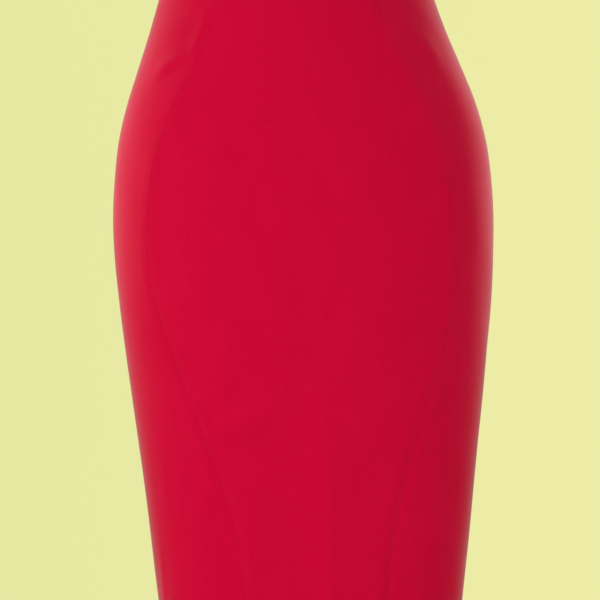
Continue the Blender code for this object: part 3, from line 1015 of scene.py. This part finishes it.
# %% [markdown]
# ## Wires and threads
# A zip's coil, the bridge that its pull hangs from and every stitch are round and thin, so one function
# sweeps a ring of points along any number of paths at once. The ring needs a second direction to keep it
# from twisting, and that is the cloth's outward direction, or straight up for the coil.

# %% Tubes along paths
WIRE_SIDES = 5  # enough for a wire that is seen from hundreds of times its width away


def tubes(name, paths, radius, sides, finish, guide):
    """Closed tubes along paths (count, steps, 3). Each ring stands square to its path: its first axis is
    the path's direction crossed with the guide, and its second is the direction crossed with the first.
    The rings at both ends are smaller, and a face closes each."""
    along = unit(np.gradient(paths, axis=1))
    across = unit(np.cross(along, np.broadcast_to(guide, along.shape)))
    other = np.cross(along, across)
    turn = TURN * np.arange(sides) / sides
    ring = across[:, :, None] * np.cos(turn)[:, None] + other[:, :, None] * np.sin(turn)[:, None]
    size = np.ones(paths.shape[1])
    size[0] = size[-1] = 0.5
    points = paths[:, :, None] + radius * size[:, None, None] * ring
    index = np.arange(points.size // 3).reshape(points.shape[:3])
    after = np.roll(index, -1, axis=2)
    walls = np.stack((index[:, :-1], after[:, :-1], after[:, 1:], index[:, 1:]), axis=-1).reshape(-1, 4)
    ends = [*index[:, 0, ::-1].tolist(), *index[:, -1].tolist()]
    return add_piece(name, points, [*walls.tolist(), *ends], [finish])


print("a wire is a tube with", WIRE_SIDES, "sides")

# %% [markdown]
# ## The zip's coils
# A zip's teeth are one nylon wire on each tape. It is coiled, flattened and sewn to the tape's inner face,
# and the two coils mesh half a turn apart. They show only from inside the skirt.

# %% Zip coils
COIL_TOP = NOTCH + 0.6 * MM  # just under the slider
COIL_PITCH = 1.25 * MM
COIL_WIRE = 0.27 * MM
COIL_PAST_CENTRE = 0.45 * MM
COIL_WIDTH = 3.7 * MM
COIL_DEPTH = 1.1 * MM
COIL_INSET = 3.95 * MM
TURN_STEPS = 9  # points along the wire in each turn


def zip_coil(side, start):
    """A flat helix beside the centre back: one turn for each pitch down, an oval with cos across and sin
    in depth. The oval starts at a share of a turn, so that the two sides mesh."""
    turns = (ZIP_END - 2 * MM - COIL_TOP) / COIL_PITCH
    turn = np.linspace(0, turns, round(turns * TURN_STEPS) + 1)
    drops = COIL_TOP + COIL_PITCH * turn
    angle = TURN * (turn + start)
    off_centre = (COIL_WIDTH / 2 - COIL_PAST_CENTRE) + COIL_WIDTH / 2 * np.cos(angle)
    arcs = (seams(drops)[f"back_of_{side}"] + off_centre * AWAY[side])[:, None]
    out = cloth_lift(drops, arcs) - COIL_INSET + COIL_DEPTH / 2 * np.sin(angle)[:, None]
    path = on_cloth(drops, arcs, out).transpose(1, 0, 2)
    return tubes(f"zip_coil_{side}", path, COIL_WIRE, WIRE_SIDES, coil_finish, (0, 0, 1))


for side, start in (("left", 0.0), ("right", 0.5)):
    coil = zip_coil(side, start)
    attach(coil, "skirt")

# %% [markdown]
# ## The zip's slider
# A slider is two small plates joined by a wedge, with a channel down each side for the tape. Its front
# plate has a wire bridge. It is cast in zinc and enamelled to match the cloth. The pull hangs in the
# bridge and lies along the waistband, so both are drawn in a frame that leans as the waistband does.

# %% Zip frame
PIN_OUT = 0.8 * MM  # from the slider's face to the middle of the pull's bar
BRIDGE_RADIUS = 2.05 * MM
PULL_LENGTH = 20 * MM
hinge = np.array(frame["record"]["behaviour"]["joints"][0]["pos_m"])

# the waistband's lean beside the pull is the angle whose tangent is its run in y over its run in z
drops = np.array((0.0, PULL_LENGTH)) - hinge[2]
top, end = on_cloth(drops, seams(drops)["back_of_left"][:, None], np.full((2, 1), BAND_PROUD))[:, 0]
lean = math.atan2(end[1] - top[1], top[2] - end[2])


def in_zip_frame(points):
    """Points given from the hinge's axis, turned about x by the lean and moved to the hinge."""
    c, s = math.cos(lean), math.sin(lean)
    x, y, z = np.moveaxis(points, -1, 0)
    return joined(x, y * c - z * s, y * s + z * c) + hinge


print("the waistband leans", round(math.degrees(lean), 2), "degrees behind the pull")

# %% [markdown]
# The slider's body is a stack of rounded outlines. A channel narrows them level with the tapes, and they
# taper a little towards the lower end, as a real slider does where its two channels join.

# %% Zip slider
SLIDER_ROUNDING = 0.6 * MM
SLIDER_TAPER = 0.17  # the share of its width that it has lost at its lower end
CHANNEL_DEPTH = 0.42  # as a share of the half width
CHANNEL_PLACE = -1.1 * MM  # from the slider's middle, towards the hollow of the skirt
CHANNEL_WIDTH = 0.65 * MM


def slider_body():
    """A stack of outlines. Each is a superellipse of power 4, x = w sign(sin)|sin|^(1/2) and y likewise,
    narrowed by exp(-t^4) level with the tapes, which is the channel. Its ends are rounded as
    sqrt(1 - t^2), and the outlines at both ends are small enough to close."""
    t = np.sin(np.radians(np.linspace(90, -90, 25)))
    height = SLIDER_LENGTH / 2 * np.clip(t * 1.12, -1, 1)
    near_end = np.clip((np.abs(height) - SLIDER_LENGTH / 2 + SLIDER_ROUNDING) / SLIDER_ROUNDING, 0, 1)
    inset = SLIDER_ROUNDING * (1 - np.sqrt(1 - near_end**2 * 0.999))
    shrink = np.ones(len(t))
    shrink[0] = shrink[-1] = 0.02
    angle = np.linspace(-math.pi, math.pi, 49)
    taper = 1 - SLIDER_TAPER * np.clip(0.5 - height / SLIDER_LENGTH, 0, 1) ** 1.5
    half_width = ((SLIDER_WIDTH / 2 * taper - inset) * shrink)[:, None]
    half_depth = ((SLIDER_WIDTH / 2 - inset) * shrink)[:, None]
    y = half_depth * signed_power(-np.cos(angle), 0.5)
    channel = 1 - CHANNEL_DEPTH * np.exp(-(((y - CHANNEL_PLACE) / CHANNEL_WIDTH) ** 4))
    x = half_width * signed_power(np.sin(angle), 0.5) * channel
    return joined(x, y - PIN_OUT - SLIDER_WIDTH / 2, height[:, None])[:, :-1]


body = slider_body()
index = round_index(*body.shape[:2])
ends = [index[0, :-1].tolist(), index[-1, -2::-1].tolist()]
slider = add_piece("zip_slider_body", in_zip_frame(body), [*quads(index).tolist(), *ends], [enamel_finish])
turn = np.radians(np.linspace(-102, 102, 27))
arch = joined(0.0, BRIDGE_RADIUS * np.cos(turn) - PIN_OUT, BRIDGE_RADIUS * np.sin(turn))
bridge = tubes("zip_slider_bridge", in_zip_frame(arch)[None], 0.5 * MM, 12, enamel_finish, (1, 0, 0))
for part in (slider, bridge):
    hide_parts("zip_slider")
    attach(part, "skirt")

# %% [markdown]
# ## The zip's pull
# The pull is a stamped plate with a window at its top, which leaves a round bar for the bridge to hold.
# Its outline widens to a round end, its rim is rounded over, and its faces are dished a little, so that
# it is easy to grip.

# %% Zip pull outline
BAR_RADIUS = 0.45 * MM
PULL_HALF = 0.4 * MM  # half the plate's thickness
WINDOW_CENTRE = -1.925 * MM
WINDOW_HALF = (1.0 * MM, 1.475 * MM)


def pull_outline(count):
    """Points round the plate (x, z), evenly spaced, from the top's middle by way of +x: a top edge with
    rounded corners, straight sides and a half circle."""
    end, top, corner = 3.1 * MM, 2.3 * MM, 0.5 * MM
    centre = end - PULL_LENGTH
    quarter = np.radians(np.linspace(90, 0, 8))
    lower = np.radians(np.linspace(0, -90, 24))
    x = np.concatenate(([0.0], top - corner + corner * np.cos(quarter), end * np.cos(lower)))
    z_corner = BAR_RADIUS - corner + corner * np.sin(quarter)
    z = np.concatenate(([BAR_RADIUS], z_corner, centre + end * np.sin(lower)))
    x, z = np.concatenate((x, -x[-2::-1])), np.concatenate((z, z[-2::-1]))
    run = length_along(joined(x, z))
    even = np.linspace(0, run[-1], count + 1)[:-1]
    return np.interp(even, run, x), np.interp(even, run, z)


print("the pull is", round(np.ptp(pull_outline(88)[0]) / MM, 1), "mm wide")

# %% [markdown]
# The plate is a ring of cross-sections, like spokes from the window out to the outline. Near its top the
# cross-section becomes round, and that is the bar.

# %% Zip pull
def pull_plate():
    """A ring of cross-sections. Each runs from the outline in to the window along a ray from the window's
    middle, and is a rounded strip: two half circles joined by straight faces, which dip in the middle.
    The window is a superellipse of power 4 with radius (|cos/a|^4 + |sin/b|^4)^(-1/4)."""
    x, z = pull_outline(88)
    ray = np.arctan2(z - WINDOW_CENTRE, x)
    across, up = np.cos(ray), np.sin(ray)
    window = ((across / WINDOW_HALF[0]) ** 4 + (up / WINDOW_HALF[1]) ** 4) ** -0.25
    outline = np.hypot(x, z - WINDOW_CENTRE)
    bar = np.clip((z + 1.5 * MM) / (1.5 * MM), 0, 1)
    half = PULL_HALF + (BAR_RADIUS - PULL_HALF) * bar
    middle, reach = (outline + window) / 2, (outline - window) / 2
    cap = np.radians(np.linspace(-90, 90, 9))
    face = np.linspace(0, 1, 9)[1:-1]
    reach_share = np.concatenate((np.ones(9), 1 - 2 * face, -np.ones(9), 2 * face - 1))
    cap_out = np.concatenate((np.cos(cap), 0 * face, -np.cos(cap), 0 * face))
    side = np.concatenate((np.sin(cap), 1 + 0 * face, -np.sin(cap), -1 + 0 * face))
    dip = np.tile(np.concatenate((0 * cap, np.sin(math.pi * face) ** 0.5)), 2)
    flat = np.maximum(reach - half, 0.02 * MM)
    radius = middle[:, None] + flat[:, None] * reach_share + half[:, None] * cap_out
    dished = 0.12 * MM * np.clip((reach - 2 * MM) / (2 * MM), 0, 1)
    y = side * (half[:, None] - dished[:, None] * dip)
    return joined(radius * across[:, None], y, WINDOW_CENTRE + radius * up[:, None])


plate = pull_plate()
index = round_index(*plate.shape[:2])
pull = add_piece("zip_pull_plate", in_zip_frame(plate), quads(np.vstack((index, index[:1]))), [enamel_finish])
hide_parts("zip_pull")
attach(pull, "pull")

# %% [markdown]
# ## Stitches
# Hardly any stitching shows on the right side of a skirt like this one, only the bar tack that keeps the
# slit from tearing. Inside, the raw edges are overlocked with a thread that goes over each edge and
# back. The overlocking is drawn at twice its real pitch.

# %% Overlocking
THREAD_RADIUS = 0.16 * MM
OVERLOCK_PITCH = 3.0 * MM
HOLLOW_WIDTH, HOLLOW_DEPTH = 155 * MM, 105 * MM  # half the axes of an ellipse like the skirt
TURN_UP_ROW = int(np.searchsorted(panel_rows()[0], TURN_UP_EDGE + 0.1 * MM))


def rows_at(points, share):
    """Points part of the way down a stack of rows (rows, ..., 3), at shares of its length."""
    at = share * (len(points) - 1)
    low = np.minimum(at.astype(int), len(points) - 2)
    part = (at - low).reshape(-1, *([1] * (points.ndim - 1)))
    return points[low] * (1 - part) + points[low + 1] * part


def inward_at(points):
    """Unit vectors from points towards the skirt's hollow, level and square to an ellipse like it."""
    return unit(points * (-1 / HOLLOW_WIDTH**2, -1 / HOLLOW_DEPTH**2, 0))


steps = round((TURN_UP_EDGE - WAIST_SEAM) / OVERLOCK_PITCH) * 4
zigzags = []
for back in panel_backs:
    for columns in (EDGE_COLUMNS, -1 - EDGE_COLUMNS):
        down = rows_at(back[: TURN_UP_ROW - 2, columns], np.linspace(0, 1, steps))
        zigzags.append(down[np.arange(steps), np.resize((0, 1, 2, 1), steps)])
overlock = np.array(zigzags)
overlock += inward_at(overlock) * 0.14 * MM
edging = tubes("overlock_thread", overlock, THREAD_RADIUS, 4, thread_finish, inward_at(overlock))
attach(edging, "skirt")

# %% [markdown]
# Blind stitches hold the turned-up hem. Each is a short bow of thread from the turn-up over its edge to
# the panel above it, every 9 mm round the skirt.

# %% Blind hem
HEM_STITCH_PITCH = 9 * MM

stitches = []
t = np.linspace(0, 1, 6)[None, :, None]
bow = np.sin(math.pi * t) * 0.8 * MM - 0.1 * MM
for back in panel_backs:
    clear = back[:, CLEAR_COLUMN:-CLEAR_COLUMN]
    above, below = clear[TURN_UP_ROW - 2], clear[TURN_UP_ROW + 2]
    run = length_along(below)[-1]
    share = np.arange(0.5, run / HEM_STITCH_PITCH) * HEM_STITCH_PITCH / run
    low, high = rows_at(below, share), rows_at(above, np.clip(share + 1.2 * MM / run, 0, 1))
    path = low[:, None] * (1 - t) + high[:, None] * t
    stitches.append(path + inward_at(path) * bow)
stitches = np.concatenate(stitches)
hemming = tubes("hem_thread", stitches, THREAD_RADIUS, WIRE_SIDES, thread_finish, inward_at(stitches))
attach(hemming, "skirt")
print(len(overlock), "overlocked edges and", len(stitches), "blind stitches")

# %% [markdown]
# The bar tack is a row of close zigzags over the centre-back seam, just above the slit.

# %% Bar tack
TACK_WIDTH = 6.4 * MM
TACK_LENGTH = 2.6 * MM
TACK_STITCHES = 28

tack = np.linspace(0, 1, 2 * TACK_STITCHES + 1)
tack_drops = SLIT_TOP - 3.4 * MM + TACK_LENGTH * tack
tack_across = TACK_WIDTH / 2 * np.cos(math.pi * TACK_STITCHES * tack)
centre = seams(tack_drops)
over_left = centre["back_of_left"] - np.abs(tack_across)
over_right = centre["back_of_right"] + np.abs(tack_across)
tack_arcs = np.where(tack_across < 0, over_left, over_right)[:, None]
tack_out = cloth_lift(tack_drops, tack_arcs) + SHOW_THROUGH + 0.16 * MM
tack_path = on_cloth(tack_drops, tack_arcs, tack_out).transpose(1, 0, 2)
tacking = tubes("slit_bar_tack", tack_path, 0.14 * MM, WIRE_SIDES, thread_finish, (0, 1, 0))
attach(tacking, "skirt")

# %% [markdown]
# ## Floor
# The skirt stands at the height at which it is worn, over a pale painted floor. Only the camera sees the
# floor's lift, which keeps it as light as the paper behind without throwing light on the cloth.

# %% Floor
FLOOR_DROP = 1.08  # how high a waist stands above the ground
FLOOR_RINGS = np.array((0.7, 1.5, 2.6, 4.0))
SPOKES = 96

floor_finish, tree, shader = new_material("pale painted floor", Base_Color="#E9E7C0", Roughness=0.7)
place_on = add_node(tree, "TexCoord").outputs["Object"]
mottle = add_node(tree, "TexNoise", {"Vector": place_on, "Scale": 1.5, "Detail": 3.0}).outputs["Fac"]
painted = add_node(tree, "Mix", {0: mottle, 6: "#E7E5BC", 7: "#EBE9C4"}, data_type="RGBA")
painted = painted.outputs[2]
looked_at = add_node(tree, "LightPath").outputs["Is Camera Ray"]
glow = add_node(tree, "Math", {0: looked_at, 1: 0.4}, operation="MULTIPLY").outputs[0]
set_inputs(shader, {"Base Color": painted, "Emission Color": painted, "Emission Strength": glow})

angle = TURN * np.arange(SPOKES) / SPOKES
disc = (FLOOR_RINGS[:, None, None] * joined(np.cos(angle), np.sin(angle))).reshape(-1, 2)
points = np.column_stack((np.vstack((disc, (0, 0))), np.full(len(disc) + 1, -FLOOR_DROP)))
index = round_index(len(FLOOR_RINGS), SPOKES)
fan = np.column_stack((index[0, :-1], index[0, 1:], np.full(SPOKES, len(disc))))
floor = add_piece("floor", points, [*quads(index).tolist(), *fan.tolist()], [floor_finish])
floor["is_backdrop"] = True

# %% [markdown]
# ## Lights
# The light is plain and soft: a bright ceiling, a large window of light from the front left with a low one
# beside it, two weaker ones from the right, and two for the back. A small one with narrow blinds stands
# behind each side at hip height, and draws the bright line of sheen down both hips.

# %% Lights
# A bearing is in degrees, where 0 is straight in front and 90 is on the wearer's left. A light faces the
# middle of the skirt at the height aim, and spread in degrees is how widely it throws its light.
Light = namedtuple("Light", "name bearing distance height aim size watts spread")
LIGHTS = (
    Light("window_left", -45, 3.0, 0.7, -0.3, (1.4, 1.8), 6.7, 80),
    Light("window_left_low", -65, 3.0, -0.5, -0.3, (1.4, 1.0), 6.2, 80),
    Light("window_right_low", 65, 3.0, -0.5, -0.3, (1.4, 1.0), 1.9, 80),
    Light("window_front_right", 30, 3.0, -0.5, -0.3, (1.4, 1.0), 4.5, 80),
    Light("window_behind", 180, 3.4, -0.2, -0.35, (0.7, 1.2), 0.4, 60),
    Light("window_behind_low", 180, 3.4, -0.6, -0.5, (0.7, 0.6), 1.2, 16),
    Light("edge_left", -128, 2.4, 0.0, -0.16, (0.7, 0.25), 0.39, 12),
    Light("edge_right", 138, 2.4, 0.0, -0.16, (0.7, 0.25), 0.43, 12),
    Light("ceiling", 0, 0.001, 2.6, -0.3, (5.0, 5.0), 30, 180),
)
for kind in LIGHTS:
    data = bpy.data.lights.new(kind.name, "AREA")
    data.shape = "RECTANGLE"
    data.size, data.size_y = kind.size
    data.energy = kind.watts
    data.spread = math.radians(kind.spread)
    light = bpy.data.objects.new(kind.name, data)
    turned = math.radians(kind.bearing)
    light.location = (kind.distance * math.sin(turned), -kind.distance * math.cos(turned), kind.height)
    way = Vector((0, 0, kind.aim)) - light.location
    light.rotation_euler = way.to_track_quat("-Z", "Y").to_euler()
    light.visible_camera = False
    bpy.context.scene.collection.objects.link(light)
print(len(LIGHTS), "lights, with", round(sum(kind.watts for kind in LIGHTS), 1), "W in all")

# %% [markdown]
# ## World
# The paper behind is pale, a little lighter on the right, and only the camera sees its colour, so it
# doesn't tint the cloth. What lights the cloth instead is a plain, dimmer white from all round.

# %% World
scene = bpy.context.scene
scene.view_settings.view_transform = "Standard"
world = bpy.data.worlds.new("studio")
scene.world = world
world.use_nodes = True
tree = world.node_tree
tree.nodes.clear()
way = add_node(tree, "TexCoord").outputs["Generated"]
across = add_node(tree, "SeparateXYZ", {"Vector": way}).outputs["X"]
share = add_node(tree, "MapRange", {"Value": across, "From Min": -0.08, "From Max": 0.08}).outputs[0]
shaded = add_node(tree, "Mix", {0: share, 6: "#E7E8A2", 7: "#EEEDA8"}, data_type="RGBA")
paper = add_node(tree, "Background", {"Color": shaded.outputs[2], "Strength": 1.0})
fill = add_node(tree, "Background", {"Color": "#F2F0F0", "Strength": 0.35})
seen = add_node(tree, "LightPath").outputs["Is Camera Ray"]
mixed = add_node(tree, "MixShader", {0: seen, 1: fill.outputs[0], 2: paper.outputs[0]})
add_node(tree, "OutputWorld", {"Surface": mixed.outputs[0]})
print("the world is", world.name)

# %% [markdown]
# ## Sizes at the end
# The dressed skirt has to stay the size of its solids, so the dressed box is printed.

# %% Sizes and finish
low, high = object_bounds()
print("dressed", [round(v / MM, 1) for v in high - low])
